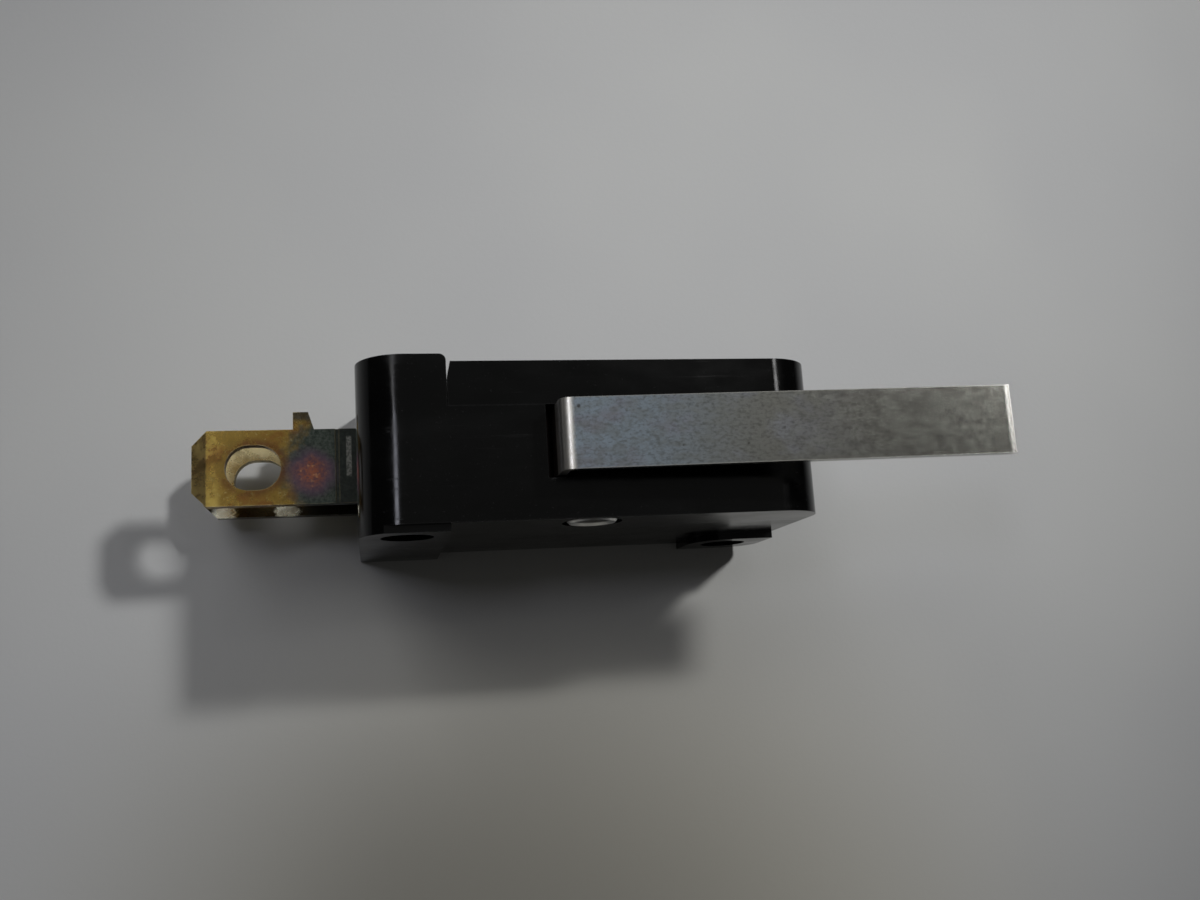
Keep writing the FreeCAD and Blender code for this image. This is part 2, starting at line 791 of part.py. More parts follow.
def make_blade():
    """Flat two-legged blade that rocks in the bracket's notches."""
    body = new_body("contact_blade")
    bottom = sizes.blade_level
    top = bottom + sizes.blade_thickness
    half = sizes.blade_width / 2
    pad_up(body, draw_rectangle, bottom, top, sizes.blade_start, sizes.blade_end, -half, half)
    half_window = sizes.bracket_slot_width / 2
    window = (sizes.blade_window_start, sizes.blade_end, -half_window, half_window)
    cut_down(body, draw_rectangle, bottom, top, *window)
    lug_half = sizes.lug_thickness / 2
    lug_top = sizes.hook_level + sizes.lug_half_height
    lug_start = sizes.blade_hook_along - sizes.blade_lug_margin
    lug_end = sizes.blade_hook_along + sizes.blade_lug_margin
    lug = (lug_start, lug_end, bottom, lug_top)
    pad_across(body, draw_rectangle, -lug_half, lug_half, *lug)
    cut_eye(body, sizes.blade_hook_along)
    hole = sizes.contact_shank_radius + sizes.press_margin
    cut_down(body, draw_circle, bottom, top, (sizes.contact_along, as_size(0)), hole)
    return body


def make_moving_contact():
    """Silver rivet through the blade, with a shallow dome towards the fixed contact."""
    body = new_body("moving_contact")
    bottom = sizes.blade_level
    top = bottom + sizes.blade_thickness
    shank = sizes.contact_shank_radius
    lowest = bottom - sizes.contact_thickness
    outline = [
        (0, lowest),
        (sizes.contact_crown_radius, lowest + sizes.contact_crown_rise),
        (sizes.contact_radius, lowest + sizes.contact_dome),
        (sizes.contact_radius, bottom),
        (shank, bottom),
        (shank, top),
        (sizes.contact_tail_radius, top),
        (sizes.contact_tail_radius, top + sizes.contact_tail_height),
        (0, top + sizes.contact_tail_height),
    ]
    revolve(body, "XZ_Plane", (sizes.contact_along, 0), outline)
    return body


def make_rest_stop():
    """Plain strip where a third terminal would be; the blade rests against its underside."""
    body = new_body("rest_stop")
    half = sizes.stop_width / 2
    top = sizes.stop_level + sizes.stop_thickness
    outline = (sizes.stop_start, sizes.stop_end, -half, half)
    pad_up(body, draw_rectangle, sizes.stop_level, top, *outline)
    return body


def place_profile(body, plane, offsets, centre, wire_radius):
    """The round section of a wire, in a sketch whose own origin lies on the coil's axis."""
    level, across, up = offsets
    sketch = new_sketch(body, plane, level)
    sketch.setExpression("AttachmentOffset.Base.x", across.text)
    sketch.setExpression("AttachmentOffset.Base.y", up.text)
    draw_circle(sketch, centre, wire_radius)
    sketch.Visibility = False
    return sketch


def add_coil(body, sketch, axis, pitch, height):
    helix = body.newObject("PartDesign::AdditiveHelix", "Helix")
    helix.Profile = sketch
    helix.ReferenceAxis = (sketch, [axis])
    helix.Mode = 0
    helix.setExpression("Pitch", pitch.text)
    helix.setExpression("Height", height.text)
    return helix


def add_hook(body, sketch, turned):
    """An open loop at the coil's end, turned about the upright through the coil's axis."""
    hook = body.newObject("PartDesign::Revolution", "Hook")
    hook.Profile = sketch
    hook.ReferenceAxis = (sketch, ["V_Axis"])
    hook.setExpression("Angle", sizes.hook_angle.text)
    hook.Reversed = turned
    return hook


def make_tension_spring():
    """Close-wound coil along X with an open, level hook at each end."""
    body = new_body("tension_spring")
    radius = sizes.tension_spring_radius
    wire = sizes.tension_spring_wire
    start = sizes.blade_hook_along + radius
    end = sizes.plunger_hook_along - radius
    level = sizes.hook_level
    middle = as_size(0)
    section = place_profile(body, "XY_Plane", (level, start, middle), (middle, radius), wire)
    add_coil(body, section, "H_Axis", sizes.tension_spring_pitch, end - start)
    for along, turned in ((start, False), (end, True)):
        section = place_profile(body, "YZ_Plane", (along, middle, level), (radius, middle), wire)
        add_hook(body, section, turned)
    return body


def make_return_spring():
    """Compression coil between the post of the case and the plunger's bore."""
    body = new_body("plunger_return_spring")
    wire = sizes.return_spring_wire
    start = sizes.post_height + wire + sizes.slot_clearance
    height = sizes.plunger_bore_top - start - wire - sizes.slot_clearance
    middle = as_size(0)
    offsets = (middle, sizes.plunger_along, start)
    centre = (sizes.return_spring_radius, middle)
    section = place_profile(body, "XZ_Plane", offsets, centre, wire)
    add_coil(body, section, "V_Axis", sizes.return_spring_pitch, height)
    return body


# ---------------------------------------------------------------- build, check and write

PIECES = [
    make_housing(),
    make_cover(),
    make_case_rivet(),
    make_lever(),
    make_lever_pin(),
    make_plunger(),
    make_spring_anchor(),
    make_return_spring(),
    make_common_terminal(),
    make_open_terminal(),
    make_pivot_bracket(),
    make_bracket_rivet(),
    make_fixed_contact(),
    make_blade(),
    make_moving_contact(),
    make_rest_stop(),
    make_tension_spring(),
]

document.recompute()

for item in document.Objects:
    if "Invalid" in item.State or "Error" in item.State:
        raise RuntimeError(f"{item.Label} did not compute: {item.State}")

os.makedirs(PARTS_FOLDER, exist_ok=True)
for piece in PIECES:
    shape = piece.Shape
    if shape.isNull() or not shape.isValid():
        raise RuntimeError(f"{piece.Label} has no valid shape")
    shape.exportStep(os.path.join(PARTS_FOLDER, f"{piece.Label}.step"))
    print(f"{piece.Label}: {len(shape.Solids)} solid, {shape.Volume:.2f} mm3")
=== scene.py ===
import json
import math

import bpy
from mathutils import Euler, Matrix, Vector


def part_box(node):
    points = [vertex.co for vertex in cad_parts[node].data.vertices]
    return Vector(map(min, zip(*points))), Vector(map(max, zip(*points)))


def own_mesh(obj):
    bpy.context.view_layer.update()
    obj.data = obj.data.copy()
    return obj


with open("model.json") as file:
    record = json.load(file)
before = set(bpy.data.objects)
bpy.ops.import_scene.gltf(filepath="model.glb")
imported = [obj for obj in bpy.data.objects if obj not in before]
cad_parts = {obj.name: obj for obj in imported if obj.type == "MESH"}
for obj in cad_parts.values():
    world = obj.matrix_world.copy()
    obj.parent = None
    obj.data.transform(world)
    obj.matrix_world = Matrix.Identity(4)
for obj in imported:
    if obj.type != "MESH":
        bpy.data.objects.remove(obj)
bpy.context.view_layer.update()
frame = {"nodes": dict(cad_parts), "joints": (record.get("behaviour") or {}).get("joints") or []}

MM = 0.001

# ---------------------------------------------------------------- places read from the frame


def joint_named(name):
    return next(joint for joint in frame["joints"] if joint["name"] == name)


housing_low, housing_high = (Vector(corner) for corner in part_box("housing"))
lever_low, lever_high = (Vector(corner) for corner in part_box("lever"))
open_low, open_high = (Vector(corner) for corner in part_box("normally_open_terminal"))
common_low, common_high = (Vector(corner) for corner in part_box("common_terminal"))
rivet_low, rivet_high = (Vector(corner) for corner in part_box("case_rivet"))
case_left = housing_low.x
case_top = housing_high.z
# The lever's foot leaves its long flat part in a bend, which ends this far along.
bend_end = joint_named("lever_pivot")["pos_m"][0] + 1.4 * MM

# ---------------------------------------------------------------- node helpers


class Shader:
    """A material's node tree, with short calls for the nodes that the materials share."""

    def __init__(self, name):
        self.material = bpy.data.materials.new(name)
        self.material.use_nodes = True
        self.tree = self.material.node_tree
        self.nodes = self.tree.nodes
        self.surface = self.nodes["Principled BSDF"]
        self.place = self.nodes.new("ShaderNodeTexCoord").outputs["Object"]
        self.colour = None

    def link(self, source, target):
        self.tree.links.new(source, target)

    def feed(self, socket, value):
        """Sets a socket to a number or colour, or links it when the value is another node's output."""
        if isinstance(value, bpy.types.NodeSocket):
            self.link(value, socket)
        else:
            socket.default_value = value

    def math(self, operation, first, second=0.0, clamp=False):
        node = self.nodes.new("ShaderNodeMath")
        node.operation = operation
        node.use_clamp = clamp
        self.feed(node.inputs[0], first)
        self.feed(node.inputs[1], second)
        return node.outputs[0]

    def multiply(self, first, *others):
        for other in others:
            first = self.math("MULTIPLY", first, other)
        return first

    def add(self, first, second):
        return self.math("ADD", first, second)

    def scaled_place(self, stretch):
        """The object's own coordinates, stretched along X, Y and Z."""
        node = self.nodes.new("ShaderNodeMapping")
        node.inputs["Scale"].default_value = stretch
        self.link(self.place, node.inputs["Vector"])
        return node.outputs["Vector"]

    def noise(self, grain, detail=4.0, roughness=0.55, stretch=(1, 1, 1)):
        """Noise with features about `grain` metres across."""
        node = self.nodes.new("ShaderNodeTexNoise")
        node.inputs["Scale"].default_value = 1.0 / grain
        node.inputs["Detail"].default_value = detail
        node.inputs["Roughness"].default_value = roughness
        self.link(self.scaled_place(stretch), node.inputs["Vector"])
        return node.outputs["Fac"]

    def spread(self, value, low, high, out_low=0.0, out_high=1.0):
        """Carries the range low..high smoothly on to out_low..out_high."""
        node = self.nodes.new("ShaderNodeMapRange")
        node.interpolation_type = "SMOOTHSTEP"
        node.inputs["From Min"].default_value = low
        node.inputs["From Max"].default_value = high
        node.inputs["To Min"].default_value = out_low
        node.inputs["To Max"].default_value = out_high
        self.link(value, node.inputs["Value"])
        return node.outputs["Result"]

    def mix(self, share, first, second):
        """Mixes two colours: `share` of 0 gives the first and 1 the second."""
        node = self.nodes.new("ShaderNodeMix")
        node.data_type = "RGBA"
        self.feed(node.inputs["Factor"], share)
        colours = [socket for socket in node.inputs if socket.type == "RGBA"]
        self.feed(colours[0], rgba(first))
        self.feed(colours[1], rgba(second))
        return next(socket for socket in node.outputs if socket.type == "RGBA")

    def cover(self, share, colour):
        """Lays a colour over the colour so far, where `share` is 1."""
        self.colour = self.mix(share, self.colour, colour)

    def along(self, axis):
        """One coordinate of the surface point, in metres."""
        node = self.nodes.new("ShaderNodeSeparateXYZ")
        self.link(self.place, node.inputs[0])
        return node.outputs[axis]

    def distance_from(self, point, stretch=(1, 1, 1)):
        """How far the surface point is from a place, with each axis stretched first."""
        shift = self.nodes.new("ShaderNodeVectorMath")
        shift.operation = "SUBTRACT"
        self.link(self.place, shift.inputs[0])
        shift.inputs[1].default_value = point
        scale = self.nodes.new("ShaderNodeVectorMath")
        scale.operation = "MULTIPLY"
        self.link(shift.outputs["Vector"], scale.inputs[0])
        scale.inputs[1].default_value = stretch
        length = self.nodes.new("ShaderNodeVectorMath")
        length.operation = "LENGTH"
        self.link(scale.outputs["Vector"], length.inputs[0])
        return length.outputs["Value"]

    def edge_wear(self, width):
        """Near 1 on the sharp edges, within about `width` metres, and 0 on the flats."""
        bevel = self.nodes.new("ShaderNodeBevel")
        bevel.samples = 4
        bevel.inputs["Radius"].default_value = width
        geometry = self.nodes.new("ShaderNodeNewGeometry")
        dot = self.nodes.new("ShaderNodeVectorMath")
        dot.operation = "DOT_PRODUCT"
        self.link(bevel.outputs["Normal"], dot.inputs[0])
        self.link(geometry.outputs["Normal"], dot.inputs[1])
        return self.spread(dot.outputs["Value"], 0.99, 0.8)

    def bump(self, height, depth, strength=1.0):
        """Bump from a 0..1 height that stands for `depth` metres."""
        node = self.nodes.new("ShaderNodeBump")
        node.inputs["Strength"].default_value = strength
        node.inputs["Distance"].default_value = depth
        self.link(height, node.inputs["Height"])
        self.link(node.outputs["Normal"], self.surface.inputs["Normal"])

    def finish(self, roughness, metallic=0.0, specular=0.5):
        """Connects the colour so far and the roughness, and gives the finished material."""
        self.feed(self.surface.inputs["Base Color"], rgba(self.colour))
        self.feed(self.surface.inputs["Roughness"], roughness)
        self.surface.inputs["Metallic"].default_value = metallic
        self.surface.inputs["Specular IOR Level"].default_value = specular
        return self.material


def rgba(colour):
    """Adds full opacity to a plain colour, and leaves a node's output as it is."""
    return (*colour, 1.0) if isinstance(colour, tuple) and len(colour) == 3 else colour


# ---------------------------------------------------------------- black plastic

CASE_BLACK = (0.0018, 0.0019, 0.002)
PLUNGER_BLACK = (0.012, 0.012, 0.013)
DUST_GREY = (0.05, 0.05, 0.052)
CASE_GLOSS = 0.1
PLUNGER_GLOSS = 0.3
# How strongly the plastic mirrors the lamps; 0.5 is ordinary glossy plastic.
PLASTIC_SPECULAR = 0.26


def black_plastic(name, tone, gloss):
    """Moulded glossy plastic: dust, handling smears, fine scratches and paler worn edges."""
    shader = Shader(name)
    smear = shader.noise(3.5 * MM, 5.0, 0.6, (0.5, 1.0, 1.0))
    dust = shader.spread(shader.noise(0.16 * MM, 2.0, 0.5), 0.66, 0.78)
    scratches = shader.spread(shader.noise(0.5 * MM, 3.0, 0.7, (0.06, 1.6, 1.6)), 0.6, 0.72)
    wear = shader.multiply(shader.edge_wear(0.12 * MM), shader.noise(0.5 * MM))
    marks = shader.math("MAXIMUM", shader.multiply(dust, 0.5), wear, clamp=True)
    paler = tuple(1.5 * part for part in tone)
    shader.colour = shader.mix(shader.spread(smear, 0.3, 0.7), tone, paler)
    shader.cover(shader.multiply(marks, 0.4), DUST_GREY)
    smeared = shader.spread(smear, 0.3, 0.75, gloss, gloss + 0.14)
    rough = shader.add(smeared, shader.multiply(scratches, 0.12))
    ripple = shader.add(shader.noise(2.2 * MM, 2.0), shader.multiply(scratches, -0.05))
    shader.bump(ripple, 0.012 * MM)
    return shader.finish(rough, specular=PLASTIC_SPECULAR)


# ---------------------------------------------------------------- steel lever

STEEL_BY_BEND = (0.68, 0.82, 0.98)
STEEL_MIDDLE = (0.68, 0.68, 0.64)
STEEL_TIP_BROWN_SHADED = (0.17, 0.165, 0.15)
STEEL_VIOLET = (0.6, 0.63, 0.75)
STEEL_BLOTCH = (0.3, 0.31, 0.28)
STEEL_SPECK_BY_BEND = (0.2, 0.205, 0.185)
STEEL_SPECK_TIP_SHADED = (0.09, 0.088, 0.08)
STEEL_SPOT = (0.1, 0.09, 0.08)
STEEL_EDGE_HIGHLIGHT = (0.95, 0.93, 0.88)
STEEL_BEND_HIGHLIGHT_TINT = (0.92, 0.88, 0.8)
STEEL_SLOT_SHADE = (0.06, 0.05, 0.045)


def satin_steel(name):
    """Stainless strip: mottled, bluish by the bend and browner by the tip, with painted shade that darkens
    the tip, painted highlights on its cut edges and bend, and painted shade in the slot.
    """
    shader = Shader(name)
    along = shader.along("X")
    grain = shader.noise(0.16 * MM, 3.0, 0.65, (0.6, 1.0, 1.0))
    blotches = shader.noise(0.5 * MM, 3.0, 0.6, (0.7, 1.0, 1.0))
    clouds = shader.noise(2.6 * MM, 4.0, 0.6, (0.6, 1.0, 1.0))
    run = shader.spread(along, lever_low.x, lever_high.x)
    shader.colour = shader.mix(shader.spread(run, 0.05, 0.5), STEEL_BY_BEND, STEEL_MIDDLE)
    # Painted shade: the colour grows far darker towards the tip, as well as browner.
    shader.cover(run, STEEL_TIP_BROWN_SHADED)
    violet = shader.multiply(shader.spread(clouds, 0.45, 0.62), shader.spread(run, 0.8, 0.2))
    shader.cover(violet, STEEL_VIOLET)
    shader.cover(shader.spread(blotches, 0.38, 0.66, 0.0, 0.5), STEEL_BLOTCH)
    # The specks also darken towards the tip, as painted shade.
    speck = shader.mix(run, STEEL_SPECK_BY_BEND, STEEL_SPECK_TIP_SHADED)
    shader.cover(shader.spread(grain, 0.42, 0.72, 0.0, 0.55), speck)
    spots = shader.spread(shader.noise(0.42 * MM, 1.0, 0.4), 0.76, 0.8)
    shader.cover(shader.multiply(spots, 0.7), STEEL_SPOT)
    # Painted highlights on the cut edges and a painted highlight band along the tip, kept off the bend.
    off_bend = shader.spread(along, bend_end - 0.2 * MM, bend_end + 0.2 * MM, 0.0, 0.9)
    tip_highlight = shader.spread(along, lever_high.x - 0.4 * MM, lever_high.x - 0.2 * MM, 0.0, 0.75)
    edge_highlight = shader.math("MAXIMUM", shader.edge_wear(0.14 * MM), tip_highlight)
    shader.cover(shader.multiply(edge_highlight, off_bend), STEEL_EDGE_HIGHLIGHT)
    # Painted highlight: the bend gets a paler, warmer colour so that its glint reads warm white.
    bend = shader.spread(along, bend_end, bend_end - 0.3 * MM)
    shader.cover(shader.multiply(bend, 0.85), STEEL_BEND_HIGHLIGHT_TINT)
    # Painted shade on the foot below the case top, where it goes down into the slot.
    slot_shade = shader.spread(shader.along("Z"), case_top + 0.35 * MM, case_top - 0.1 * MM)
    shader.cover(slot_shade, STEEL_SLOT_SHADE)
    shader.bump(shader.add(grain, shader.multiply(blotches, 0.8)), 0.003 * MM)
    rough = shader.add(shader.spread(blotches, 0.3, 0.7, 0.2, 0.26), shader.multiply(bend, 0.16))
    return shader.finish(rough, metallic=1.0)


# ---------------------------------------------------------------- brass tabs

GOLD_LIGHT = (0.5, 0.33, 0.08)
GOLD_DEEP = (0.24, 0.15, 0.036)
GOLD_FLECK = (0.52, 0.43, 0.19)
GOLD_BROWN = (0.24, 0.1, 0.032)
GOLD_NEAR_TIP = (0.62, 0.46, 0.12)
DARK_TARNISH_AND_SHADE = (0.04, 0.05, 0.042)
GREEN_TARNISH_AND_SHADE = (0.09, 0.105, 0.088)
EAR_END = (0.06, 0.06, 0.052)
SHADE_BESIDE_CASE = (0.02, 0.021, 0.02)
HOLE_STAIN = (0.14, 0.06, 0.028)
TIP_FACET_SHADE = (0.12, 0.09, 0.045)
BARE_EDGE = (0.8, 0.68, 0.36)
BAND_GREY = (0.3, 0.3, 0.27)
HEAT_HALO = (0.15, 0.09, 0.14)
HEAT_RED = (0.38, 0.125, 0.06)
HEAT_FLECK = (0.55, 0.28, 0.14)
LOWER_TAB_PAINTED_SHEEN = (0.95, 0.85, 0.5)
LOWER_TAB_FRONT_SHADE = (0.03, 0.026, 0.018)
LOWER_TAB_PAINTED_GLINT = (1.0, 0.97, 0.76)

# Distances out from the case's left end.
HOLE_FROM_CASE = 6.3 * MM
HEAT_MARK_FROM_CASE = 2.8 * MM
# The middle of the wire hole and of the heat mark, across the tab.
HOLE_ACROSS = 0.1 * MM
HEAT_MARK_ACROSS = -0.3 * MM
# Painted glints on the lower tab: distances from its tip and from its front edge.
PAINTED_GLINT_PLACES = ((1.35 * MM, 0.3 * MM), (5.3 * MM, 0.3 * MM))


class TabShader(Shader):
    """A brass tab's material, with the noises and the box that its layers share."""

    def __init__(self, name, low, high):
        super().__init__(name)
        self.low = low
        self.high = high
        self.patches = self.noise(1.1 * MM, 5.0, 0.65)
        self.fine = self.noise(0.18 * MM, 3.0, 0.6)
        self.wander = self.multiply(self.math("SUBTRACT", self.patches, 0.5), 3.0 * MM)
        self.x = self.along("X")
        self.y = self.along("Y")

    def gild(self):
        """Patchy golden metal with brown clouds."""
        self.colour = self.mix(self.spread(self.patches, 0.35, 0.65), GOLD_LIGHT, GOLD_DEEP)
        self.cover(self.spread(self.fine, 0.58, 0.78), GOLD_FLECK)
        brown = self.noise(1.6 * MM, 3.0, 0.6)
        self.cover(self.spread(brown, 0.5, 0.64, 0.0, 0.75), GOLD_BROWN)

    def darken_by_tarnish_and_shade(self):
        """Green-grey tarnish mixed with painted shade from the case outwards, with a ragged edge that bows
        to the tip; darker at the ear's far end, and painted shade beside the case.
        """
        bow = self.multiply(self.math("ABSOLUTE", self.y), 0.55)
        place = self.math("SUBTRACT", self.add(self.x, self.wander), bow)
        reach = case_left - self.low.x
        self.tarnish_shade_mask = self.spread(place, self.low.x + 0.43 * reach, self.low.x + 0.6 * reach)
        # Tarnish and the painted shade cast by the case share this darkening.
        self.cover(self.tarnish_shade_mask, self.mix(self.spread(self.fine, 0.3, 0.7), DARK_TARNISH_AND_SHADE, GREEN_TARNISH_AND_SHADE))
        ear_end = self.spread(self.y, self.high.y - 0.75 * MM, self.high.y - 0.35 * MM, 0.0, 0.85)
        self.cover(ear_end, EAR_END)
        # Painted shade on the tab just beside the case.
        shade_beside_case = self.spread(self.x, case_left - 1.7 * MM, case_left - 1.0 * MM, 0.0, 0.75)
        self.cover(shade_beside_case, SHADE_BESIDE_CASE)

    def stain_hole(self):
        """Brown stain round the wire hole."""
        middle = Vector((case_left - HOLE_FROM_CASE, HOLE_ACROSS, self.high.z))
        distance = self.distance_from(middle, (0.84, 1.0, 1.0))
        rim = self.add(distance, self.multiply(self.wander, 0.25))
        uneven = self.spread(self.patches, 0.4, 0.58, 0.25, 0.8)
        self.cover(self.multiply(self.spread(rim, 2.1 * MM, 1.55 * MM), uneven), HOLE_STAIN)

    def brighten_tip(self):
        """Brighter gold near the tip, and painted shade on the bevel at its very end."""
        near_tip = self.spread(self.x, self.low.x + 1.9 * MM, self.low.x + 1.3 * MM)
        # Brighter gold in patches near the tip.
        self.cover(self.multiply(near_tip, self.spread(self.patches, 0.45, 0.6, 0.1, 0.7)), GOLD_NEAR_TIP)
        # Painted shade on the tip's bevel facet.
        bevel = self.spread(self.x, self.low.x + 0.95 * MM, self.low.x + 0.8 * MM)
        self.cover(self.multiply(bevel, 0.75), TIP_FACET_SHADE)

    def bare_edges(self):
        """Bare metal on the worn edges, less of it under the tarnish and painted shade."""
        bare = self.multiply(self.edge_wear(0.1 * MM), self.spread(self.patches, 0.35, 0.6))
        self.cover(self.multiply(bare, self.spread(self.tarnish_shade_mask, 0.0, 1.0, 0.8, 0.15)), BARE_EDGE)

    def dotted_band(self):
        """Narrow dotted grey strip across the tab, just outside the case."""
        left = self.spread(self.x, case_left - 0.7 * MM, case_left - 0.62 * MM)
        right = self.spread(self.x, case_left - 0.3 * MM, case_left - 0.38 * MM)
        front = self.spread(self.y, -0.65 * MM, -0.45 * MM)
        back = self.spread(self.y, self.high.y - 1.5 * MM, self.high.y - 1.7 * MM)
        dots = self.spread(self.noise(0.13 * MM, 1.0, 0.4), 0.3, 0.7, 0.2, 0.7)
        self.cover(self.multiply(left, right, front, back, dots), BAND_GREY)

    def heat_mark(self):
        """Red speckled spot with a violet halo, the colours that heat leaves on brass."""
        middle = Vector((case_left - HEAT_MARK_FROM_CASE, HEAT_MARK_ACROSS, self.high.z))
        distance = self.add(self.distance_from(middle), self.multiply(self.wander, 0.35))
        halo = self.spread(distance, 1.9 * MM, 1.0 * MM)
        self.cover(self.multiply(halo, 0.6), HEAT_HALO)
        speckle = self.spread(self.fine, 0.38, 0.6, 0.3, 1.0)
        spot = self.multiply(self.spread(distance, 1.35 * MM, 0.2 * MM), 0.8, speckle)
        self.cover(spot, HEAT_RED)
        flecks = self.spread(self.noise(0.3 * MM, 1.0, 0.4), 0.6, 0.7)
        self.cover(self.multiply(flecks, spot), HEAT_FLECK)

    def front_strip(self):
        """Painted reflections: a pale middle, painted shade along the front edge under the upper tab, and
        painted bright glints on that edge.
        """
        front = self.low.y
        # Painted reflection: the pale middle.
        self.cover(self.spread(self.y, front + 1.2 * MM, front + 1.8 * MM, 0.0, 0.6), LOWER_TAB_PAINTED_SHEEN)
        # Painted shade along the front edge, under the upper tab.
        self.cover(self.spread(self.y, front + 0.9 * MM, front + 0.5 * MM, 0.0, 0.9), LOWER_TAB_FRONT_SHADE)
        uneven = self.multiply(self.math("SUBTRACT", self.fine, 0.5), 0.5 * MM)
        # Painted glints on the front edge.
        for from_tip, from_front in PAINTED_GLINT_PLACES:
            middle = Vector((self.low.x + from_tip, front + from_front, self.high.z))
            distance = self.add(self.distance_from(middle, (0.8, 1.4, 1.0)), uneven)
            self.cover(self.spread(distance, 0.75 * MM, 0.5 * MM), LOWER_TAB_PAINTED_GLINT)

    def polish(self, relief_depth):
        rough_by_tarnish_shade = self.multiply(self.tarnish_shade_mask, 0.1)
        rough = self.add(self.spread(self.patches, 0.3, 0.7, 0.2, 0.36), rough_by_tarnish_shade)
        self.bump(self.add(self.fine, self.patches), relief_depth)
        return self.finish(rough, metallic=1.0)


def aged_brass(name, low, high):
    """What both tabs share: golden at the tip, darkened towards the case by tarnish and painted shade."""
    tab = TabShader(name, low, high)
    tab.gild()
    tab.darken_by_tarnish_and_shade()
    tab.stain_hole()
    tab.brighten_tip()
    return tab


def upper_tab_brass(name, low, high):
    tab = aged_brass(name, low, high)
    tab.dotted_band()
    tab.heat_mark()
    tab.bare_edges()
    return tab.polish(0.004 * MM)


def lower_tab_brass(name, low, high):
    tab = aged_brass(name, low, high)
    tab.bare_edges()
    tab.front_strip()
    return tab.polish(0.0015 * MM)


# ---------------------------------------------------------------- small metal pieces and the sheet

# Each metal: its bright tone and its dull tone.
SILVER = ((0.9, 0.88, 0.84), (0.7, 0.67, 0.62))
STEEL = ((0.72, 0.72, 0.72), (0.5, 0.5, 0.51))
BRASS = ((0.8, 0.62, 0.28), (0.6, 0.43, 0.17))
COPPER = ((0.78, 0.5, 0.3), (0.6, 0.34, 0.2))
RIVET = ((0.8, 0.8, 0.79), (0.66, 0.66, 0.65))
BORE_SHADE = (0.02, 0.02, 0.02)

SHEET_TONES = ((0.6, 0.605, 0.615), (0.64, 0.645, 0.645))
SHEET_SHADE_TINT = (0.62, 0.595, 0.51)
# Painted warm shade: the sheet is warmest in front of the switch.
SHEET_SHADE_PLACE = (0, -40 * MM, 0)


def plain_metal(name, bright, dull, grain, rough_low, rough_high):
    """Small metal pieces: two tones of the same metal, mottled, with brighter edges."""
    shader = Shader(name)
    mottle = shader.noise(grain, 4.0, 0.6)
    shader.colour = shader.mix(shader.spread(mottle, 0.35, 0.7), bright, dull)
    brighter = tuple(min(1.0, 1.25 * part) for part in bright)
    shader.cover(shader.multiply(shader.edge_wear(0.05 * MM), 0.5), brighter)
    shader.bump(mottle, 0.006 * MM)
    return shader.finish(shader.spread(mottle, 0.3, 0.7, rough_low, rough_high), metallic=1.0)


def rivet_metal(name, middle):
    """Bright rolled rim with painted shade towards its bore."""
    shader = Shader(name)
    mottle = shader.noise(0.8 * MM, 2.0, 0.5)
    shader.colour = shader.mix(shader.spread(mottle, 0.35, 0.7), *RIVET)
    from_axis = shader.distance_from(middle, (1.0, 0.0, 1.0))
    # Painted shade in the bore and on the rim's inner slope.
    shader.cover(shader.spread(from_axis, 1.1 * MM, 0.9 * MM, 0.0, 0.97), BORE_SHADE)
    shader.bump(mottle, 0.002 * MM)
    return shader.finish(0.3, metallic=1.0)


def paper():
    """The pale sheet under the switch: faint fibres, a slightly uneven tone and a painted warm shade in
    front.
    """
    shader = Shader("paper")
    fibres = shader.noise(0.4 * MM, 4.0, 0.6)
    tone = shader.noise(30 * MM, 2.0, 0.5)
    shader.colour = shader.mix(shader.spread(tone, 0.3, 0.7), *SHEET_TONES)
    from_shade_place = shader.distance_from(SHEET_SHADE_PLACE)
    # Painted warm shade in front of the switch.
    shader.cover(shader.spread(from_shade_place, 45 * MM, 12 * MM, 0.0, 0.9), SHEET_SHADE_TINT)
    shader.bump(fibres, 0.02 * MM, 0.5)
    return shader.finish(0.75, specular=0.2)


MATERIALS = {
    "housing": black_plastic("housing_plastic", CASE_BLACK, CASE_GLOSS),
    "cover": black_plastic("cover_plastic", CASE_BLACK, CASE_GLOSS),
    "plunger": black_plastic("plunger_plastic", PLUNGER_BLACK, PLUNGER_GLOSS),
    "lever": satin_steel("lever_steel"),
    "normally_open_terminal": upper_tab_brass("open_tab_brass", open_low, open_high),
    "common_terminal": lower_tab_brass("common_tab_brass", common_low, common_high),
    "case_rivet": rivet_metal("rivet_metal", (rivet_low + rivet_high) / 2),
    "lever_pin": plain_metal("pin_steel", *STEEL, 0.3 * MM, 0.2, 0.35),
    "plunger_return_spring": plain_metal("return_spring_steel", *STEEL, 0.2 * MM, 0.25, 0.4),
    "tension_spring": plain_metal("tension_spring_steel", *STEEL, 0.2 * MM, 0.25, 0.4),
    "spring_anchor": plain_metal("anchor_steel", *STEEL, 0.3 * MM, 0.3, 0.45),
    "pivot_bracket": plain_metal("bracket_brass", *BRASS, 0.5 * MM, 0.25, 0.4),
    "bracket_rivet": plain_metal("bracket_rivet_brass", *BRASS, 0.3 * MM, 0.25, 0.4),
    "rest_stop": plain_metal("stop_brass", *BRASS, 0.5 * MM, 0.3, 0.45),
    "contact_blade": plain_metal("blade_copper_alloy", *COPPER, 0.5 * MM, 0.25, 0.4),
    "fixed_contact": plain_metal("fixed_contact_silver", *SILVER, 0.25 * MM, 0.2, 0.35),
    "moving_contact": plain_metal("moving_contact_silver", *SILVER, 0.25 * MM, 0.2, 0.35),
}

# ---------------------------------------------------------------- soft edges on the CAD pieces

